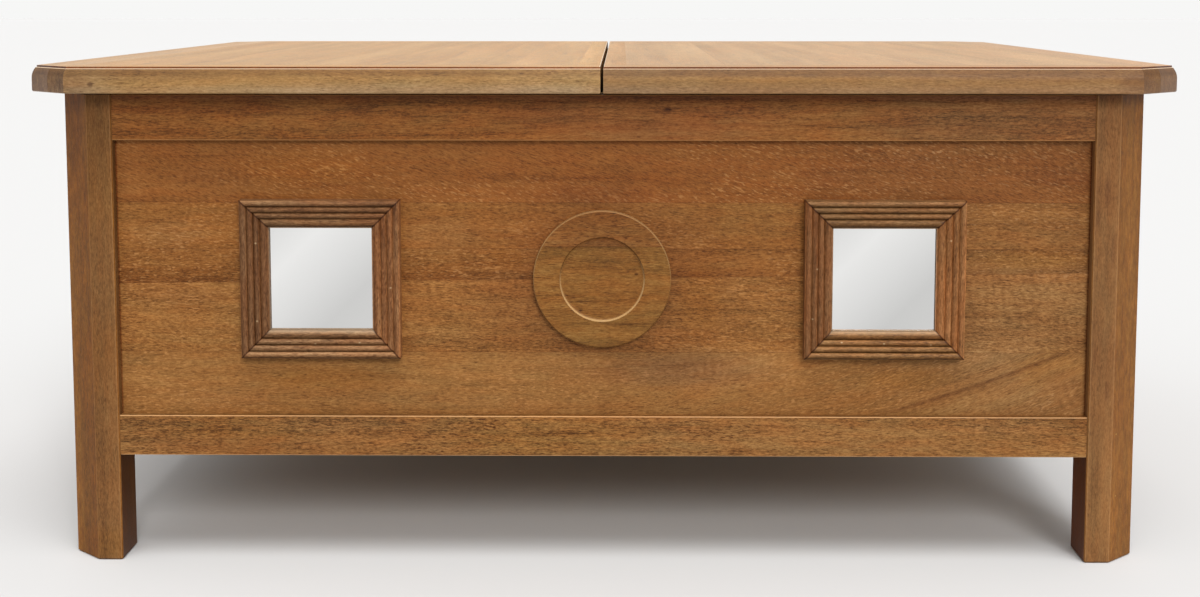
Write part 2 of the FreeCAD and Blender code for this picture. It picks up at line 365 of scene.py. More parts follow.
# The number of the board at each place, and a mask of the joints between them
def splitBoards(tree, place, boards):
    number = 0.0
    line = 0.0
    for offset, slope, shadow in boards["joints"]:
        direction = [a + b * slope for a, b in zip(boards["across"], boards["along"])]
        across = dot(tree, place, direction)
        number = add(tree, number, maths(tree, "GREATER_THAN", across, offset))
        above = less(tree, across, offset)
        line = larger(tree, line, outside(tree, absolute(tree, above), *spanLimits["joint"]))
        if shadow:
            strip = outside(tree, above, *spanLimits["jointShadow"])
            strip = times(tree, maths(tree, "GREATER_THAN", above, 0.0), strip)
            line = larger(tree, line, times(tree, strip, shadow))
    return number, line


def perBoard(tree, number, values):
    count = len(values)
    share = maths(tree, "MULTIPLY_ADD", number, 1 / count, 0.5 / count)
    return ramp(tree, share, [(n / count, value) for n, value in enumerate(values)], steps=True)


def greys(values):
    return [(value, value, value) for value in values]


# Grain that sweeps up across the lowest board, with one dark line in it
def sweepGrain(tree, place, number, boards):
    reach = larger(tree, dot(tree, place, grainLines["x"]), 0.0)
    rise = times(tree, times(tree, reach, reach), -boards["sweep"])
    lowest = maths(tree, "LESS_THAN", number, 0.5)
    level = add(tree, heightOf(tree, place), rise)
    off = absolute(tree, less(tree, level, boards["sweepLine"]))
    line = outside(tree, off, *spanLimits["sweep"])
    line = times(tree, line, between(tree, reach, *spanLimits["sweepStart"]))
    line = times(tree, line, boards["sweepShade"])
    return liftBy(tree, times(tree, rise, lowest)), times(tree, line, lowest)


def layBoards(tree, place, along, boards):
    number, joint = splitBoards(tree, place, boards)
    step = vectorMaths(tree, "MULTIPLY", allThree(tree, number), boardStep)
    along = vectorMaths(tree, "ADD", along, step)
    look = {"tint": perBoard(tree, number, boards["tints"])}
    if "contrast" in boards:
        look["contrast"] = perBoard(tree, number, greys(boards["contrast"]))
    if "feather" in boards:  # how far the fine grain slopes off, board by board
        slope = perBoard(tree, number, greys(boards["feather"]))
        look["lean"] = liftBy(tree, times(tree, slope, dot(tree, place, boards["along"])))
    if "sweep" in boards:
        lift, swept = sweepGrain(tree, place, number, boards)
        along = vectorMaths(tree, "ADD", along, lift)
        joint = larger(tree, joint, swept)
    look["joint"] = joint
    return along, look


def driftGrain(tree, along, wood):
    for drift in ("wander", "curl"):
        shift = noise(tree, along, *grainNoise[drift], output="Color")
        shift = vectorMaths(tree, "SUBTRACT", shift, (0.5, 0.5, 0.5))
        shift = vectorMaths(tree, "MULTIPLY", shift, (0, wood[drift], wood[drift]))
        along = vectorMaths(tree, "ADD", along, shift)
    return along


def rippleTone(tree, along, wood):
    phase = times(tree, dot(tree, along, wood["rippleTilt"]), 2 * math.pi / wood["rippleLength"])
    phase = add(tree, phase, swing(tree, along, wood["rippleStray"], *grainNoise["rippleStray"]))
    patch = noise(tree, along, *grainNoise["ripplePatches"])
    patch = between(tree, patch, *noiseLimits["ripplePatches"])
    wave = times(tree, maths(tree, "SINE", phase), patch)
    return times(tree, wave, wood["ripple"])


def grainTone(tree, along, fine, wood):
    tone = add(tree, swing(tree, along, wood["bands"], *grainNoise["bands"]), 0.5)
    streaks = noise(tree, along, *grainNoise["streaks"])
    tone = add(tree, tone, times(tree, less(tree, streaks, 0.5), wood["streaks"]))
    fibres = swing(tree, fine, 1.0, *grainNoise["fibres"])
    tone = add(tree, tone, times(tree, fibres, wood["fibres"]))
    tone = add(tree, tone, swing(tree, along, wood["mottle"], *grainNoise["mottle"]))
    tone = add(tree, tone, swing(tree, fine, wood["speckle"], *grainNoise["speckle"]))
    if wood["ripple"]:
        tone = add(tree, tone, rippleTone(tree, along, wood))
    return tone, streaks, fibres


def paintTone(tree, along, tone, wood, look):
    if "contrast" in look:
        tone = maths(tree, "MULTIPLY_ADD", less(tree, tone, 0.5), look["contrast"], 0.5)
    colour = ramp(tree, tone, list(zip(toneStops, (wood["dark"], wood["mid"], wood["light"]))))
    for grain in ("warmBands", "warmStreaks"):
        warm = ramp(tree, noise(tree, along, *grainNoise[grain]), warmStops)
        colour = shade(tree, colour, wood["warmth"], warm)
    for source in (look, wood):
        if "tint" in source:
            colour = shade(tree, colour, 1.0, source["tint"])
    return colour


def paintPores(tree, along, fine, colour, streaks, wood):
    lines = outside(tree, streaks, *noiseLimits["darkLines"])
    colour = shade(tree, colour, times(tree, lines, wood["darkLines"]), paintGains["darkLines"])
    pores = between(tree, noise(tree, fine, *grainNoise["pores"]), *noiseLimits["pores"])
    patches = noise(tree, along, *grainNoise["porePatches"])
    shown = between(tree, patches, *noiseLimits["porePatches"])
    shown = maths(tree, "MULTIPLY_ADD", shown, poreShare["patches"], poreShare["everywhere"])
    shown = times(tree, shown, wood["pores"])
    colour = shade(tree, colour, times(tree, pores, shown), paintGains["pores"])
    if wood["flecks"]:
        pale = between(tree, noise(tree, fine, *grainNoise["flecks"]), *noiseLimits["flecks"])
        pale = times(tree, pale, outside(tree, patches, *noiseLimits["fleckPatches"]))
        colour = cover(tree, colour, times(tree, pale, wood["flecks"]), wood["worn"])
    return colour, pores


# Each spot has a place, a half width, a half height and a strength
def spotMask(tree, place, spots):
    mask = 0.0
    for x, z, width, height, strength in spots:
        offset = vectorMaths(tree, "SUBTRACT", place, (x, 0, z))
        offset = vectorMaths(tree, "MULTIPLY", offset, (1 / width, 0, 1 / height))
        spot = outside(tree, length(tree, offset), spotCore, 1.0)
        mask = larger(tree, mask, times(tree, spot, strength))
    return mask


# Grooves, mitres and sight edge of a square reeded frame, with painted shade in the level grooves, painted
# light in the upright ones, and a painted highlight on the sight edge
def paintReeds(tree, place, colour, reeds):
    offset = axes(tree, vectorMaths(tree, "SUBTRACT", place, reeds["centre"]))
    level = absolute(tree, offset["X"])
    upright = absolute(tree, offset["Z"])
    out = larger(tree, level, upright)
    grooves = 0.0
    for groove in reeds["grooves"]:
        distance = absolute(tree, less(tree, out, groove))
        grooves = larger(tree, grooves, outside(tree, distance, *reeds["grooveSpan"]))
    colour = shade(tree, colour, grooves, reeds["grooveGain"])
    mitre = outside(tree, absolute(tree, less(tree, level, upright)), *spanLimits["mitre"])
    colour = shade(tree, colour, mitre, reeds["mitreGain"])
    sight = outside(tree, less(tree, out, reeds["sight"]), *reeds["sightSpan"])
    return cover(tree, colour, times(tree, sight, reeds["sightWear"]), reeds["sightColour"])


def paintMarks(tree, place, colour, wood, look):
    for spots, gain in spotGains.items():
        if spots in wood:
            colour = shade(tree, colour, spotMask(tree, place, wood[spots]), gain)
    if "reeds" in wood:
        colour = paintReeds(tree, place, colour, wood["reeds"])
    if "filler" in wood:
        filled = times(tree, spotMask(tree, place, wood["filler"]), fillerPaint["cover"])
        colour = cover(tree, colour, filled, fillerPaint["colour"])
    if "joint" in look:
        colour = shade(tree, colour, times(tree, look["joint"], jointStrength), paintGains["joint"])
    if "corner" in wood:  # painted shade where the panel meets the posts
        reach = absolute(tree, dot(tree, place, grainLines[wood["grain"]]))
        corner = outside(tree, less(tree, wood["corner"], reach), *spanLimits["corner"])
        colour = shade(tree, colour, corner, paintGains["corner"])
    if "underLid" in wood:  # painted shadow under the overhanging lid
        paintedShade = between(tree, heightOf(tree, place), *wood["underLid"]["span"])
        colour = shade(tree, colour, paintedShade, wood["underLid"]["gain"])
    return colour


# A half on faces cut at 45 degrees between front and side, nothing on square ones
def slantOf(tree, normal):
    sides = axes(tree, normal)
    return absolute(tree, times(tree, sides["X"], sides["Y"]))


def edgeMask(tree, normal, up, kind):
    if kind == "upright":  # rounded arrises beside a 45 degree cut
        slant = slantOf(tree, normal)
        low = between(tree, slant, *faceLimits["arrisLow"])
        return times(tree, low, outside(tree, slant, *faceLimits["arrisHigh"]))
    if kind == "turned":
        # only on the side of turned edges that faces the light: a painted highlight
        lit = between(tree, dot(tree, normal, turnedLight), *faceLimits["turnedLit"])
        front = absolute(tree, dot(tree, normal, grainLines["y"]))
        return times(tree, outside(tree, front, *faceLimits["turned"]), lit)
    if kind == "nose":  # the tight upper round of an edge, for a painted highlight
        low = between(tree, up, *faceLimits["noseLow"])
        return times(tree, low, outside(tree, up, *faceLimits["noseHigh"]))
    slant = times(tree, up, up)
    slant = times(tree, slant, less(tree, 1.0, slant))
    return between(tree, slant, *faceLimits["level"])


# Pale edges: wear, and a painted highlight where the edges face the light
def paintEdges(tree, place, normal, up, colour, wood):
    worn = times(tree, edgeMask(tree, normal, up, wood["edges"]), wood["edgeWear"])
    if "rim" in wood:
        offset = vectorMaths(tree, "SUBTRACT", place, wood["rim"]["centre"])
        offset = vectorMaths(tree, "MULTIPLY", offset, (1, 0, 1))
        outer = maths(tree, "GREATER_THAN", length(tree, offset), wood["rim"]["from"])
        wear = maths(tree, "MULTIPLY_ADD", outer, wood["rim"]["wear"] - 1, 1.0)
        worn = times(tree, worn, wear)
    return cover(tree, colour, worn, wood["worn"])


# The darker riser of the step below a lid's face, painted shade on the bowed edge under it and painted bounce
# light on its lower rim
def paintLidEdge(tree, place, up, colour, wood):
    height = heightOf(tree, place)
    high = maths(tree, "GREATER_THAN", height, wood["stepAbove"])
    step = times(tree, high, outside(tree, up, *faceLimits["riser"]))
    colour = shade(tree, colour, step, paintGains["step"])
    # painted shade on the upper facets of the bowed edge
    bowed = between(tree, up, *faceLimits["bowLow"])
    bowed = times(tree, bowed, outside(tree, up, *faceLimits["bowHigh"]))
    colour = shade(tree, colour, bowed, paintGains["bow"])
    # painted bluish bounce light on the lower rim
    hem = outside(tree, less(tree, height, wood["underside"]), *spanLimits["hem"])
    return shade(tree, colour, hem, paintGains["hem"])


def paintFaces(tree, place, colour, wood):
    normal = addNode(tree, "NewGeometry").outputs["Normal"]
    up = heightOf(tree, normal)
    facing = absolute(tree, dot(tree, normal, grainLines[wood["grain"]]))
    cut = times(tree, between(tree, facing, *faceLimits["endGrain"]), wood["endGrain"])
    flecks = swing(tree, place, endFlecks["swing"], *grainNoise["endGrain"])
    cut = times(tree, cut, add(tree, endFlecks["level"], flecks))
    colour = shade(tree, colour, cut, paintGains["endGrain"])
    # painted light on faces turned towards the light, painted shade on faces turned away
    if wood["bleach"]:
        level = allThree(tree, dot(tree, normal, paintedLightDirection))
        gain = vectorMaths(tree, "MULTIPLY", level, wood["bleach"])
        colour = vectorMaths(tree, "MULTIPLY", colour, vectorMaths(tree, "ADD", gain, (1, 1, 1)))
    # painted sheen on level upper faces
    if wood["faded"]:
        colour = shade(tree, colour, between(tree, up, *faceLimits["faded"]), wood["faded"])
    if "stepAbove" in wood:
        colour = paintLidEdge(tree, place, up, colour, wood)
    if "slant" in wood:
        slant = between(tree, slantOf(tree, normal), *faceLimits["slant"])
        colour = shade(tree, colour, slant, wood["slant"])
        patchy = ramp(tree, noise(tree, place, *grainNoise["cutFace"]), cutFaceStops)
        colour = shade(tree, colour, slant, patchy)
    # painted shade on the inner faces of the legs
    if wood["inside"]:
        inward = outside(tree, dot(tree, normal, place), *faceLimits["inward"])
        top = wood["legHeight"]
        leg = outside(tree, heightOf(tree, place), top, top + spanLimits["legFade"])
        colour = shade(tree, colour, times(tree, inward, leg), wood["inside"])
    if wood["edges"]:
        colour = paintEdges(tree, place, normal, up, colour, wood)
    return colour


def woodFinish(name, wood):
    wood = {**plainWood, **wood}
    finish, tree, shader = newFinish(name)
    place = addNode(tree, "TexCoord").outputs["Object"]
    mapping = {"Vector": place, "Rotation": grainTurns[wood["grain"]]}
    mapping["Location"] = [step * wood["seed"] for step in seedStep]
    along = addNode(tree, "Mapping", mapping).outputs[0]
    look = {}
    if "boards" in wood:
        along, look = layBoards(tree, place, along, wood["boards"])
    along = driftGrain(tree, along, wood)
    fine = vectorMaths(tree, "ADD", along, look["lean"]) if "lean" in look else along
    tone, streaks, fibres = grainTone(tree, along, fine, wood)
    colour = paintTone(tree, along, tone, wood, look)
    colour, pores = paintPores(tree, along, fine, colour, streaks, wood)
    colour = paintMarks(tree, place, colour, wood, look)
    colour = paintFaces(tree, place, colour, wood)
    tree.links.new(colour, shader.inputs["Base Color"])
    shader.inputs["Specular IOR Level"].default_value = wood["specular"]
    shader.inputs["Coat Weight"].default_value = wood["lacquer"]
    shader.inputs["Coat Roughness"].default_value = wood["lacquerRoughness"]
    lowest = wood["roughness"] - wood["roughnessSwing"] / 2
    roughness = maths(tree, "MULTIPLY_ADD", streaks, wood["roughnessSwing"], lowest)
    tree.links.new(roughness, shader.inputs["Roughness"])
    relief = {"Height": less(tree, fibres, pores)}
    relief.update({"Strength": wood["reliefStrength"], "Distance": wood["relief"]})
    tree.links.new(addNode(tree, "Bump", relief).outputs[0], shader.inputs["Normal"])
    return finish


def tones(dark, mid, light, worn):
    names = ("dark", "mid", "light", "worn")
    return {name: screenColour(*tone) for name, tone in zip(names, (dark, mid, light, worn))}


# Posts
postWood = {
    **tones((74, 47, 23), (111, 73, 36), (138, 97, 54), (166, 121, 77)),
    "seed": 1.3,
    "grain": "z",
    "warmth": 0.4,
    "streaks": 0.22,
    "pores": 0.35,
    "fibres": 0.35,
    "speckle": 0.55,
    "edges": "upright",
    # painted shade on the inner faces of the legs
    "inside": (0.43, 0.28, 0.02),
    "slant": (1.12, 0.90, 0.36),  # colour gain on the 45 degree cuts
    # painted shade on the upper part of the posts, under the lid
    "underLid": {"span": (0.26, 0.42), "gain": (0.69, 0.69, 0.71)},
    "coolSpots": [(-0.45, 0.05, 0.27, 0.2, 0.6), (-0.44, 0.25, 0.06, 0.08, 0.6)],
    "paleSpots": [(-0.44, 0.05, 0.05, 0.05, 0.4), (0.44, 0.06, 0.05, 0.08, 0.7)],
    "warmSpots": [(-0.44, 0.015, 0.05, 0.02, 0.8), (0.44, 0.06, 0.05, 0.08, 0.5)],
    "edgeWear": 0.2,
}
rightPost = {
    **tones((80, 52, 29), (119, 82, 47), (146, 105, 65), (174, 131, 88)),
    "fibres": 0.28,
    "speckle": 0.45,
    "inside": (0.46, 0.23, 0.0),
    "slant": (0.92, 0.78, 0.40),
    # painted shadow just under the lid
    "underLid": {"span": (0.4065, 0.4135), "gain": (0.70, 0.65, 0.75)},
    "stains": [
        (0.4385, 0.332, 0.0035, 0.018, 1.0),
        (0.4310, 0.308, 0.0030, 0.014, 0.9),
        (0.4450, 0.280, 0.0030, 0.020, 0.9),
        (0.4315, 0.187, 0.0030, 0.012, 0.8),
        (0.4430, 0.155, 0.0035, 0.015, 1.0),
        (0.4400, 0.185, 0.0300, 0.040, 0.35),
    ],
    "filler": [(0.4535, 0.1156, 0.001, 0.001, 1.0), (0.4550, 0.0595, 0.001, 0.001, 1.0)],
}


def finishPosts():
    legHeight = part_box("front_bottom_rail")[0].z
    for number, corner in enumerate(("front_left", "front_right", "back_left", "back_right")):
        wood = {**postWood, "legHeight": legHeight}
        if "right" in corner:
            wood.update(rightPost)
        wood["seed"] += number
        dress(corner + "_post", woodFinish(corner + "PostWood", wood))


finishPosts()

# Rails
railWood = {
    **tones((69, 42, 17), (115, 77, 39), (144, 102, 57), (200, 154, 106)),
    "seed": 0.8,
    "curl": 0.004,
    "bands": 0.8,
    "streaks": 0.52,
    "mottle": 0.22,
    "fibres": 0.9,
    "pores": 0.9,
    "darkLines": 0.6,
    "speckle": 1.05,
    "edges": "level",
    "edgeWear": 0.7,
    "stains": [(-0.33, 0.105, 0.12, 0.011, 0.8), (0.26, 0.104, 0.10, 0.010, 0.35)],
    "paleSpots": [
        (-0.26, 0.123, 0.10, 0.010, 1.0),
        (-0.07, 0.122, 0.09, 0.009, 0.6),
        (0.355, 0.123, 0.07, 0.010, 1.0),
    ],
    "warmSpots": [(-0.05, 0.115, 0.12, 0.03, 0.9), (-0.32, 0.115, 0.08, 0.03, 0.6)],
}
topRail = {
    **tones((70, 39, 14), (119, 71, 30), (145, 95, 46), (176, 126, 77)),
    "seed": 0.4,
    "curl": 0.006,
    "streaks": 0.62,
    "bands": 0.65,
    "fibres": 0.65,
    "pores": 0.5,
    "speckle": 0.7,
    # painted shadow just under the lid
    "underLid": {"span": (0.4065, 0.4135), "gain": (0.62, 0.56, 0.72)},
    "knots": [(0.057, 0.402, 0.0053, 0.004, 1.0), (-0.32, 0.405, 0.10, 0.010, 0.2)],
    "warmSpots": [(-0.35, 0.402, 0.10, 0.014, 0.7)],
    "stains": [
        (-0.21, 0.404, 0.016, 0.012, 1.0),
        (-0.345, 0.403, 0.11, 0.012, 1.0),
        (-0.05, 0.398, 0.06, 0.016, 0.8),
        (0.05, 0.384, 0.10, 0.014, 0.7),
        (0.29, 0.385, 0.09, 0.014, 0.5),
    ],
    # cool and pale spots at the right end paint a paler, bluer sheen
    "coolSpots": [(0.39, 0.395, 0.20, 0.2, 1.0), (0.05, 0.395, 0.14, 0.08, 0.65)],
    "paleSpots": [(0.41, 0.395, 0.20, 0.16, 0.5), (0.24, 0.40, 0.15, 0.12, 0.45)],
}
sideGrain = {"front": "x", "back": "x", "left": "y", "right": "y"}


def finishRails():
    for number, (side, grain) in enumerate(sideGrain.items()):
        for level in ("top", "bottom"):
            wood = {**railWood, "grain": grain}
            if level == "top":
                wood.update(topRail)
            wood["seed"] += number
            dress(f"{side}_{level}_rail", woodFinish(f"{side}{level.title()}RailWood", wood))


finishRails()

# Panels of five boards, glued edge to edge
panelWood = {
    **tones((88, 50, 16), (127, 78, 32), (154, 101, 47), (170, 122, 72)),
    "seed": 2.2,
    "seedGap": 1.15,
    "bands": 0.4,
    "streaks": 0.32,
    "fibres": 0.6,
    "ripple": 0.035,
    "warmth": 0.4,
    "speckle": 0.9,
    "flecks": 0.45,
    "pores": 0.5,
    "darkLines": 0.2,
}
# Soft spots on the front panel alone. It is darker all round the roundel; the dark spots below the roundel
# and under the left frame are painted shadow, the pale strips beside the left post painted light, and the
# pale and cool spots at the right end a painted paler, bluer sheen
frontSpots = {
    "knots": [(0.06, 0.181, 0.07, 0.018, 0.3), (-0.03, 0.324, 0.04, 0.016, 0.2)],
    "stains": [
        (0.0, 0.2525, 0.16, 0.12, 0.85),
        (0.0, 0.325, 0.07, 0.022, 0.9),
        (0.05, 0.170, 0.11, 0.022, 1.0),
        (-0.22, 0.163, 0.07, 0.012, 0.5),
        (0.405, 0.163, 0.03, 0.014, 0.8),
        (-0.37, 0.237, 0.06, 0.014, 0.5),
        (-0.34, 0.343, 0.06, 0.014, 0.5),
        (0.40, 0.343, 0.05, 0.012, 0.6),
        (0.20, 0.343, 0.04, 0.012, 0.6),
    ],
    "paleSpots": [
        (-0.135, 0.199, 0.05, 0.014, 0.8),
        (-0.34, 0.145, 0.06, 0.012, 0.75),
        (-0.16, 0.144, 0.13, 0.010, 0.5),
        (0.345, 0.19, 0.06, 0.04, 0.6),
        (0.28, 0.361, 0.04, 0.010, 0.7),
        (-0.422, 0.335, 0.028, 0.07, 0.5),
        (-0.4135, 0.3545, 0.006, 0.004, 0.9),
        (-0.4140, 0.298, 0.006, 0.030, 0.6),
    ],
    "warmSpots": [
        (-0.24, 0.163, 0.08, 0.014, 1.0),
        (-0.26, 0.350, 0.09, 0.022, 0.8),
        (0.40, 0.172, 0.05, 0.025, 0.9),
        (0.38, 0.271, 0.07, 0.013, 1.0),
        (0.27, 0.163, 0.05, 0.014, 0.8),
        (0.085, 0.235, 0.03, 0.045, 0.8),
        (-0.085, 0.271, 0.03, 0.014, 0.8),
    ],
    "coolSpots": [
        (0.40, 0.225, 0.21, 0.16, 0.8),
        (0.33, 0.35, 0.19, 0.14, 0.6),
        (0.40, 0.16, 0.13, 0.10, 0.6),
        (0.09, 0.172, 0.10, 0.025, 0.5),
        (-0.38, 0.292, 0.05, 0.02, 0.5),
        (-0.14, 0.292, 0.05, 0.02, 0.5),
    ],
}
panelBoards = {
    "across": (0, 0, 1),
    "joints": [  # height, slope and shadow
        (0.187, 0.0, 0.0),
        (0.253, -0.012, 0.7),
        (0.279, 0.0, 0.0),
        (0.320, 0.0, 0.0),
    ],
    "tints": [
        (1.0, 1.18, 1.60),
        (0.94, 1.05, 1.32),
        (0.79, 0.82, 0.93),
        (0.90, 0.96, 1.10),
        (0.845, 0.81, 0.885),
    ],
    "contrast": (0.78, 1.2, 1.2, 1.0, 0.8),
    "feather": (0.0, 0.04, 0.0, 0.08, 0.32),
    "sweep": 0.5275,  # rise of the grain, times the square of the distance from the middle
    "sweepLine": 0.0998,  # height of the dark line, carried back to the middle
    "sweepShade": 1.8,
}


def finishPanels():
    low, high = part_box("front_right_post")
    corners = {"x": low.x, "y": -high.y}
    for number, (side, grain) in enumerate(sideGrain.items()):
        boards = {**panelBoards, "along": grainLines[grain]}
        wood = {**panelWood, "grain": grain, "boards": boards, "corner": corners[grain]}
        wood["seed"] += panelWood["seedGap"] * number
        if side == "front":
            wood.update(frontSpots)
        dress(side + "_panel", woodFinish(side + "PanelWood", wood))


finishPanels()

# Mirrors in their reeded frames
frameWood = {
    **tones((59, 37, 19), (104, 69, 40), (136, 98, 62), (160, 118, 82)),
    "seed": 1.43,
    "seedGap": 0.83,
    "streaks": 0.6,
    "darkLines": 0.45,
    "speckle": 0.6,
    "bleach": (0.70, 0.76, 0.87),
}
rightFrameTones = tones((67, 43, 22), (115, 78, 42), (149, 107, 65), (172, 128, 88))
frameReeds = {
    "outerLand": 0.0004,
    "width": 0.0055,
    "count": 4,
    "sightLand": 0.0008,
    "grooveSpan": (0.0001, 0.0011),
    "mitreGain": (0.36, 0.26, 0.19),
    "sightColour": screenColour(159, 140, 113),
}
# painted shade in the grooves of the top and bottom mouldings, painted light in those of the upright ones,
# and a painted highlight along the sight edge
uprightReeds = {"grooveGain": (1.40, 1.35, 1.30), "sightSpan": (0.0006, 0.0011), "sightWear": 0.25}
edgeReeds = {
    "top": {"grooveGain": (0.80, 0.77, 0.75), "sightSpan": (0.0006, 0.0011), "sightWear": 0.25},
    "right": uprightReeds,
    "bottom": {"grooveGain": (0.67, 0.62, 0.58), "sightSpan": (0.0006, 0.0045), "sightWear": 0.34},
    "left": uprightReeds,
}
edgeGrain = {"top": "x", "right": "z", "bottom": "x", "left": "z"}
# tints of each moulding, which also paint shade on the left mouldings and light on the bottom ones
mouldingTints = {
    "left": {
        "top": (0.92, 0.94, 1.0),
        "right": (1.01, 0.94, 0.94),
        "bottom": (1.06, 1.13, 1.26),
        "left": (0.70, 0.71, 0.78),
    },
    "right": {
        "top": (0.83, 0.86, 0.96),
        "right": (1.04, 0.94, 0.98),
        "bottom": (1.0, 1.05, 1.12),
        "left": (0.72, 0.65, 0.72),
    },
}
# Filled pin holes, with the half width, half height and strength of each
frameFiller = {
    "size": (0.0013, 0.001, 1.0),
    "left": [(-0.303, 0.285), (-0.185, 0.246), (-0.252, 0.196), (-0.213, 0.197), (-0.303, 0.216)],
    "right": [(0.188, 0.263), (0.184, 0.219), (0.304, 0.288), (0.210, 0.198), (0.247, 0.197), (0.288, 0.196)],
}
# Painted reflection: the glass is paler at the upper left and darker at the lower right, the right mirror a
# little darker
mirrorGlass = {
    "tones": [(0.0, 0.72), (0.27, 0.84), (0.5, 0.74), (0.73, 0.62), (1.0, 0.65)],
    "tint": (1.0, 1.0, 0.993),
    "gain": {"left": 1.0, "right": 0.955},
    "roughness": 0.03,
}


def mirrorFinish(hand):
    finish, tree, shader = newFinish(hand + "SilveredGlass")
    place = addNode(tree, "TexCoord").outputs["Object"]
    low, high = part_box(hand + "_mirror")
    side = high.x - low.x
    offset = vectorMaths(tree, "SUBTRACT", place, (low.x, 0, high.z))
    diagonal = dot(tree, offset, (0.5 / side, 0, -0.5 / side))
    gain = mirrorGlass["gain"][hand]
    stops = []
    for where, value in mirrorGlass["tones"]:
        stops.append((where, [part * gain * value for part in mirrorGlass["tint"]]))
    tree.links.new(ramp(tree, diagonal, stops), shader.inputs["Base Color"])
    shader.inputs["Metallic"].default_value = 1.0
    shader.inputs["Roughness"].default_value = mirrorGlass["roughness"]
    return finish


def finishMirrors():
    seed = frameWood["seed"]
    for hand in ("left", "right"):
        dress(hand + "_mirror", mirrorFinish(hand))
        low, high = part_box(f"{hand}_mirror_top_moulding")
        half = (high.x - low.x) / 2
        sight = half - (high.z - low.z)
        first = half - frameReeds["outerLand"]
        grooves = [first - frameReeds["width"] * n for n in range(frameReeds["count"])]
        grooves.append(sight + frameReeds["sightLand"])
        centre = ((low.x + high.x) / 2, 0, high.z - half)
        filler = [(x, z, *frameFiller["size"]) for x, z in frameFiller[hand]]
        for edge, grain in edgeGrain.items():
            wood = {**frameWood, "seed": seed, "grain": grain, "filler": filler}
            wood["reeds"] = {**frameReeds, **edgeReeds[edge]}
            wood["reeds"].update({"centre": centre, "grooves": grooves, "sight": sight})
            wood["tint"] = mouldingTints[hand][edge]
            if hand == "right":
                wood.update(rightFrameTones)
            finish = woodFinish(f"{hand}{edge.title()}MouldingWood", wood)
            dress(f"{hand}_mirror_{edge}_moulding", finish)
            seed += frameWood["seedGap"]


finishMirrors()

# Turned roundel
roundelWood = {
    **tones((81, 50, 19), (116, 76, 33), (141, 100, 51), (216, 178, 124)),
    "seed": 5.4,
    "streaks": 0.55,
    "fibres": 0.8,
    "darkLines": 0.75,
    "speckle": 0.6,
    "edges": "turned",
    "edgeWear": 0.5,
    "rim": {"centre": (0, 0, 0.2525), "from": 0.05, "wear": 0.5},  # the outer edge gets less pale wear and painted highlight
    "bleach": (0.2, 0.2, 0.2),
    "boards": {
        "across": (0, 0, 1),
        "along": (1, 0, 0),
        "joints": [(0.282, 0.0, 0.0)],
        "tints": [(0.95, 0.97, 0.97), (0.87, 0.79, 0.83)],
    },
    "knots": [(0.030, 0.2575, 0.0024, 0.0016, 1.0), (-0.019, 0.225, 0.0022, 0.0016, 1.0)],
    # the stains at the top of the recess paint the shadow of its rim
    "stains": [(0.0, 0.283, 0.036, 0.010, 0.6), (0.005, 0.272, 0.03, 0.012, 0.35)],
}
dress("roundel", woodFinish("roundelWood", roundelWood))

# Lids: a veneered board of staves in mitred lippings
lidWood = {
    **tones((104, 72, 32), (143, 104, 54), (168, 128, 74), (196, 156, 104)),
    "seed": 3.1,
    "grain": "y",
    "bands": 0.4,
    "streaks": 0.3,
    "fibres": 0.5,
    "pores": 0.5,
    "warmth": 0.3,
    "endGrain": 1.0,
    "faded": (1.68, 1.82, 2.36),
    "specular": 0.45,
    "lacquer": 0.15,
    "knots": [(-0.437, 0.425, 0.0037, 0.0028, 1.0)],
}
rightLid = {"seed": 4.1, "faded": (1.66, 1.86, 2.75)}
staveTints = greys((1.0, 0.985, 1.01, 0.99, 1.015))
lippingWood = {
    **tones((104, 73, 36), (143, 106, 60), (169, 130, 82), (228, 204, 174)),
    "seed": 0.0,
    "seedGap": 0.27,
    "endGrain": 0.9,
    "fibres": 0.4,
    "speckle": 0.6,
    # painted highlight along the nose of the edge, and a painted sheen on the top
    "edges": "nose",
    "edgeWear": 1.0,
    "faded": (1.76, 1.89, 2.35),
    "specular": 0.2,
    "lacquer": 0.0,
    "stains": [
        (-0.450, 0.427, 0.024, 0.013, 1.0),
        (0.455, 0.427, 0.024, 0.013, 1.0),
        (-0.40, 0.432, 0.11, 0.007, 0.6),
        (0.38, 0.432, 0.09, 0.007, 0.45),
    ],
    "coolSpots": [(-0.15, 0.421, 0.25, 0.010, 0.7), (-0.45, 0.43, 0.047, 0.035, 0.6)],
    "paleSpots": [
        (-0.04, 0.428, 0.07, 0.03, 1.0),
        (0.05, 0.426, 0.10, 0.02, 0.5),
        (0.43, 0.422, 0.05, 0.006, 0.6),
    ],
    "warmSpots": [(0.14, 0.431, 0.16, 0.006, 0.8)],
}
rightLipping = {
    **tones((93, 64, 32), (126, 91, 52), (150, 114, 71), (220, 196, 166)),
    "seed": 1.0,
    "endGrain": 0.55,
    "faded": (2.22, 2.48, 3.3),
}
endLipping = {"specular": lidWood["specular"], "lacquer": lidWood["lacquer"]}
endDarker = 0.25  # added to the end grain of the end lippings
stepHeight = 0.0017
lippingGrain = {"front": "x", "back": "x", "end": "y", "meeting": "y"}


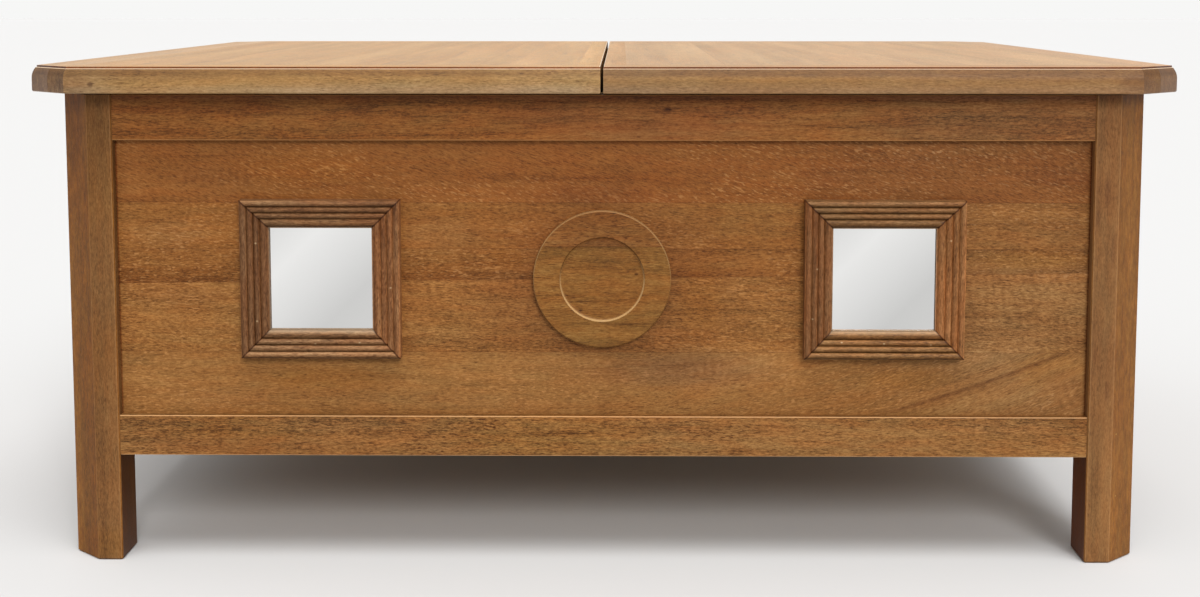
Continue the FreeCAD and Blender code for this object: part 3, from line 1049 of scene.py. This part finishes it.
def finishLids():
    for hand in ("left", "right"):
        low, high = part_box(hand + "_lid_board")
        width = (high.x - low.x) / len(staveTints)
        boards = {
            "across": (1, 0, 0),
            "along": (0, 1, 0),
            "joints": [(low.x + width * n, 0.0, 0.0) for n in range(1, len(staveTints))],
            "tints": staveTints,
        }
        wood = {**lidWood, "boards": boards}
        if hand == "right":
            wood.update(rightLid)
        dress(hand + "_lid_board", woodFinish(hand + "LidVeneer", wood))
        for number, (edge, grain) in enumerate(lippingGrain.items()):
            wood = {**lidWood, **lippingWood, "grain": grain}
            wood.update({"stepAbove": high.z - stepHeight, "underside": low.z})
            if hand == "right":
                wood.update(rightLipping)
            if edge == "end":
                wood.update(endLipping)
                wood["endGrain"] += endDarker
            wood["seed"] += lippingWood["seedGap"] * number
            dress(f"{hand}_lid_{edge}_lipping", woodFinish(f"{hand}Lid{edge.title()}Lipping", wood))


finishLids()

# Plain wood inside the case
innerWood = {
    **tones((128, 94, 58), (165, 130, 88), (188, 156, 114), (200, 170, 130)),
    "seed": 0.2,
    "seedGap": 0.59,
    "roughness": 0.6,
}


def finishInside():
    inner = {"base_board": "x", "front_runner_batten": "x", "back_runner_batten": "x"}
    for side, grain in sideGrain.items():
        inner[side + "_base_cleat"] = grain
    for hand in ("left", "right"):
        for side in ("front", "back"):
            inner[f"{hand}_lid_{side}_cleat"] = "x"
    for number, (name, grain) in enumerate(inner.items()):
        wood = {**innerWood, "grain": grain}
        wood["seed"] += innerWood["seedGap"] * number
        dress(name, woodFinish(name + "Wood", wood))


finishInside()

# Zinc plated runners
runnerSteel = {
    "zinc": (0.56, 0.57, 0.59, 1),
    "roughness": 0.32,
    "roughnessSwing": 0.2,
    "rolled": ((12, 900, 900), 3.0, 0.5),  # scale, detail and roughness of the rolling marks
}


def finishRunners(steel):
    finish, tree, shader = newFinish("zincedSteel")
    shader.inputs["Base Color"].default_value = steel["zinc"]
    shader.inputs["Metallic"].default_value = 1.0
    place = addNode(tree, "TexCoord").outputs["Object"]
    lowest = steel["roughness"] - steel["roughnessSwing"] / 2
    rolled = noise(tree, place, *steel["rolled"])
    roughness = maths(tree, "MULTIPLY_ADD", rolled, steel["roughnessSwing"], lowest)
    tree.links.new(roughness, shader.inputs["Roughness"])
    for hand in ("left", "right"):
        for part in ("fixed", "middle", "lid"):
            dress(f"{hand}_{part}_runners", finish)


finishRunners(runnerSteel)
print("finishes on", len(nodes), "nodes")


# Countersunk screws in the base board, the battens and the lids' cleats
screwShape = {
    "points": 16,
    "radius": 0.0038,
    "proud": 0.0003,
    "sunk": 0.0015,
    "tip": 0.55,  # of the head's radius, at its lower end
    "rim": 0.0012,
    "crossDepth": 0.001,
    "crossNeck": 0.42,
    "armSlope": 0.4,  # points steeper than this lie between the arms of the cross
    "levelFace": 0.9,  # least upward share of a level face's normal
    "smoothAngle": 30.0,
}
screwPlaces = {
    "inset": 0.0075,  # from the edge of the base board
    "baseX": (-0.36, -0.12, 0.12, 0.36),
    "baseY": (-0.24, 0.0, 0.24),
    "batten": (0.26, 0.40),
    "cleat": (0.06, 0.17),
}


def looksUp(face):
    return face.normal.z > screwShape["levelFace"]


def looksDown(face):
    return face.normal.z < -screwShape["levelFace"]


def clearChoice(mode):
    bpy.ops.object.mode_set(mode="EDIT")
    bpy.ops.mesh.select_all(action="DESELECT")
    bpy.ops.mesh.select_mode(type=mode)
    bpy.ops.object.mode_set(mode="OBJECT")


def chooseFaces(piece, wanted):
    clearChoice("FACE")
    for face in piece.data.polygons:
        face.select = wanted(face)
    bpy.ops.object.mode_set(mode="EDIT")


def choosePoints(piece, wanted):
    clearChoice("VERT")
    for point in piece.data.vertices:
        point.select = wanted(point.co)
    bpy.ops.object.mode_set(mode="EDIT")


def modelScrew(shape):
    depth = shape["proud"] + shape["sunk"]
    inner = shape["radius"] - 0.5 * shape["rim"]
    tip = shape["tip"]
    neck = shape["crossNeck"]

    def betweenArms(point):
        near, far = sorted((abs(point.x), abs(point.y)))
        return point.z > 0 and math.hypot(near, far) < inner and near > shape["armSlope"] * far

    bpy.ops.object.select_all(action="DESELECT")
    bpy.ops.mesh.primitive_cylinder_add(
        vertices=shape["points"], radius=shape["radius"], depth=depth, location=(0, 0, 0)
    )
    screw = bpy.context.active_object
    bpy.ops.object.mode_set(mode="EDIT")
    bpy.ops.mesh.select_all(action="SELECT")
    bpy.ops.transform.rotate(value=math.pi / shape["points"], orient_axis="Z", center_override=(0, 0, 0))
    bpy.ops.transform.translate(value=(0, 0, shape["proud"] - depth / 2))
    chooseFaces(screw, looksDown)
    bpy.ops.transform.resize(value=(tip, tip, 1), center_override=(0, 0, 0))
    chooseFaces(screw, looksUp)
    bpy.ops.mesh.inset(thickness=shape["rim"])
    bpy.ops.object.mode_set(mode="OBJECT")
    choosePoints(screw, betweenArms)
    bpy.ops.transform.resize(value=(neck, neck, 1), center_override=(0, 0, 0))
    chooseFaces(screw, lambda face: looksUp(face) and len(face.vertices) > 4)
    bpy.ops.mesh.extrude_region_move(TRANSFORM_OT_translate={"value": (0, 0, -shape["crossDepth"])})
    bpy.ops.object.mode_set(mode="OBJECT")
    bpy.ops.object.shade_smooth_by_angle(angle=math.radians(shape["smoothAngle"]))
    return screw


def placeScrew(screw, name, place, towards, body, finish):
    bpy.ops.object.select_all(action="DESELECT")
    screw.select_set(True)
    bpy.context.view_layer.objects.active = screw
    bpy.ops.object.duplicate()
    piece = bpy.context.active_object
    piece.name = name
    piece.location = place
    piece.rotation_euler = Vector(towards).to_track_quat("Z", "Y").to_euler()
    bpy.ops.object.transform_apply(location=True, rotation=True, scale=True)
    piece.data.materials.append(finish)
    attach(piece, body)


def listScrews(settings):
    places = []
    low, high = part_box("base_board")
    inset = settings["inset"]
    for x in settings["baseX"]:
        for y in (low.y + inset, high.y - inset):
            places.append(((x, y, high.z), (0, 0, 1), "case"))
    for y in settings["baseY"]:
        for x in (low.x + inset, high.x - inset):
            places.append(((x, y, high.z), (0, 0, 1), "case"))
    for side, inward in (("front", 1), ("back", -1)):
        low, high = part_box(side + "_runner_batten")
        face = high.y if inward > 0 else low.y
        for x in settings["batten"]:
            for hand in (-1, 1):
                places.append(((hand * x, face, (low.z + high.z) / 2), (0, inward, 0), "case"))
        for hand, way in (("left", -1), ("right", 1)):
            low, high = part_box(f"{hand}_lid_{side}_cleat")
            for x in settings["cleat"]:
                places.append(((way * x, (low.y + high.y) / 2, low.z), (0, 0, -1), hand + "_lid"))
    return places


def addScrews():
    finish = bpy.data.materials["zincedSteel"]
    screw = modelScrew(screwShape)
    places = listScrews(screwPlaces)
    for number, (place, towards, body) in enumerate(places):
        placeScrew(screw, f"screw{number:02d}", place, towards, body, finish)
    bpy.ops.object.select_all(action="DESELECT")
    screw.select_set(True)
    bpy.ops.object.delete()
    print("screws:", len(places))


addScrews()


# Floor
floorSettings = {"size": 80.0, "colour": (0.60, 0.599, 0.596, 1), "roughness": 0.9}


def addFloor(settings):
    bpy.ops.object.select_all(action="DESELECT")
    bpy.ops.mesh.primitive_plane_add(size=settings["size"], location=(0, 0, 0))
    floor = bpy.context.active_object
    floor.name = "paleFloor"
    finish, _, shader = newFinish("palePaper")
    shader.inputs["Base Color"].default_value = settings["colour"]
    shader.inputs["Roughness"].default_value = settings["roughness"]
    floor.data.materials.append(finish)


addFloor(floorSettings)
print("floor laid")
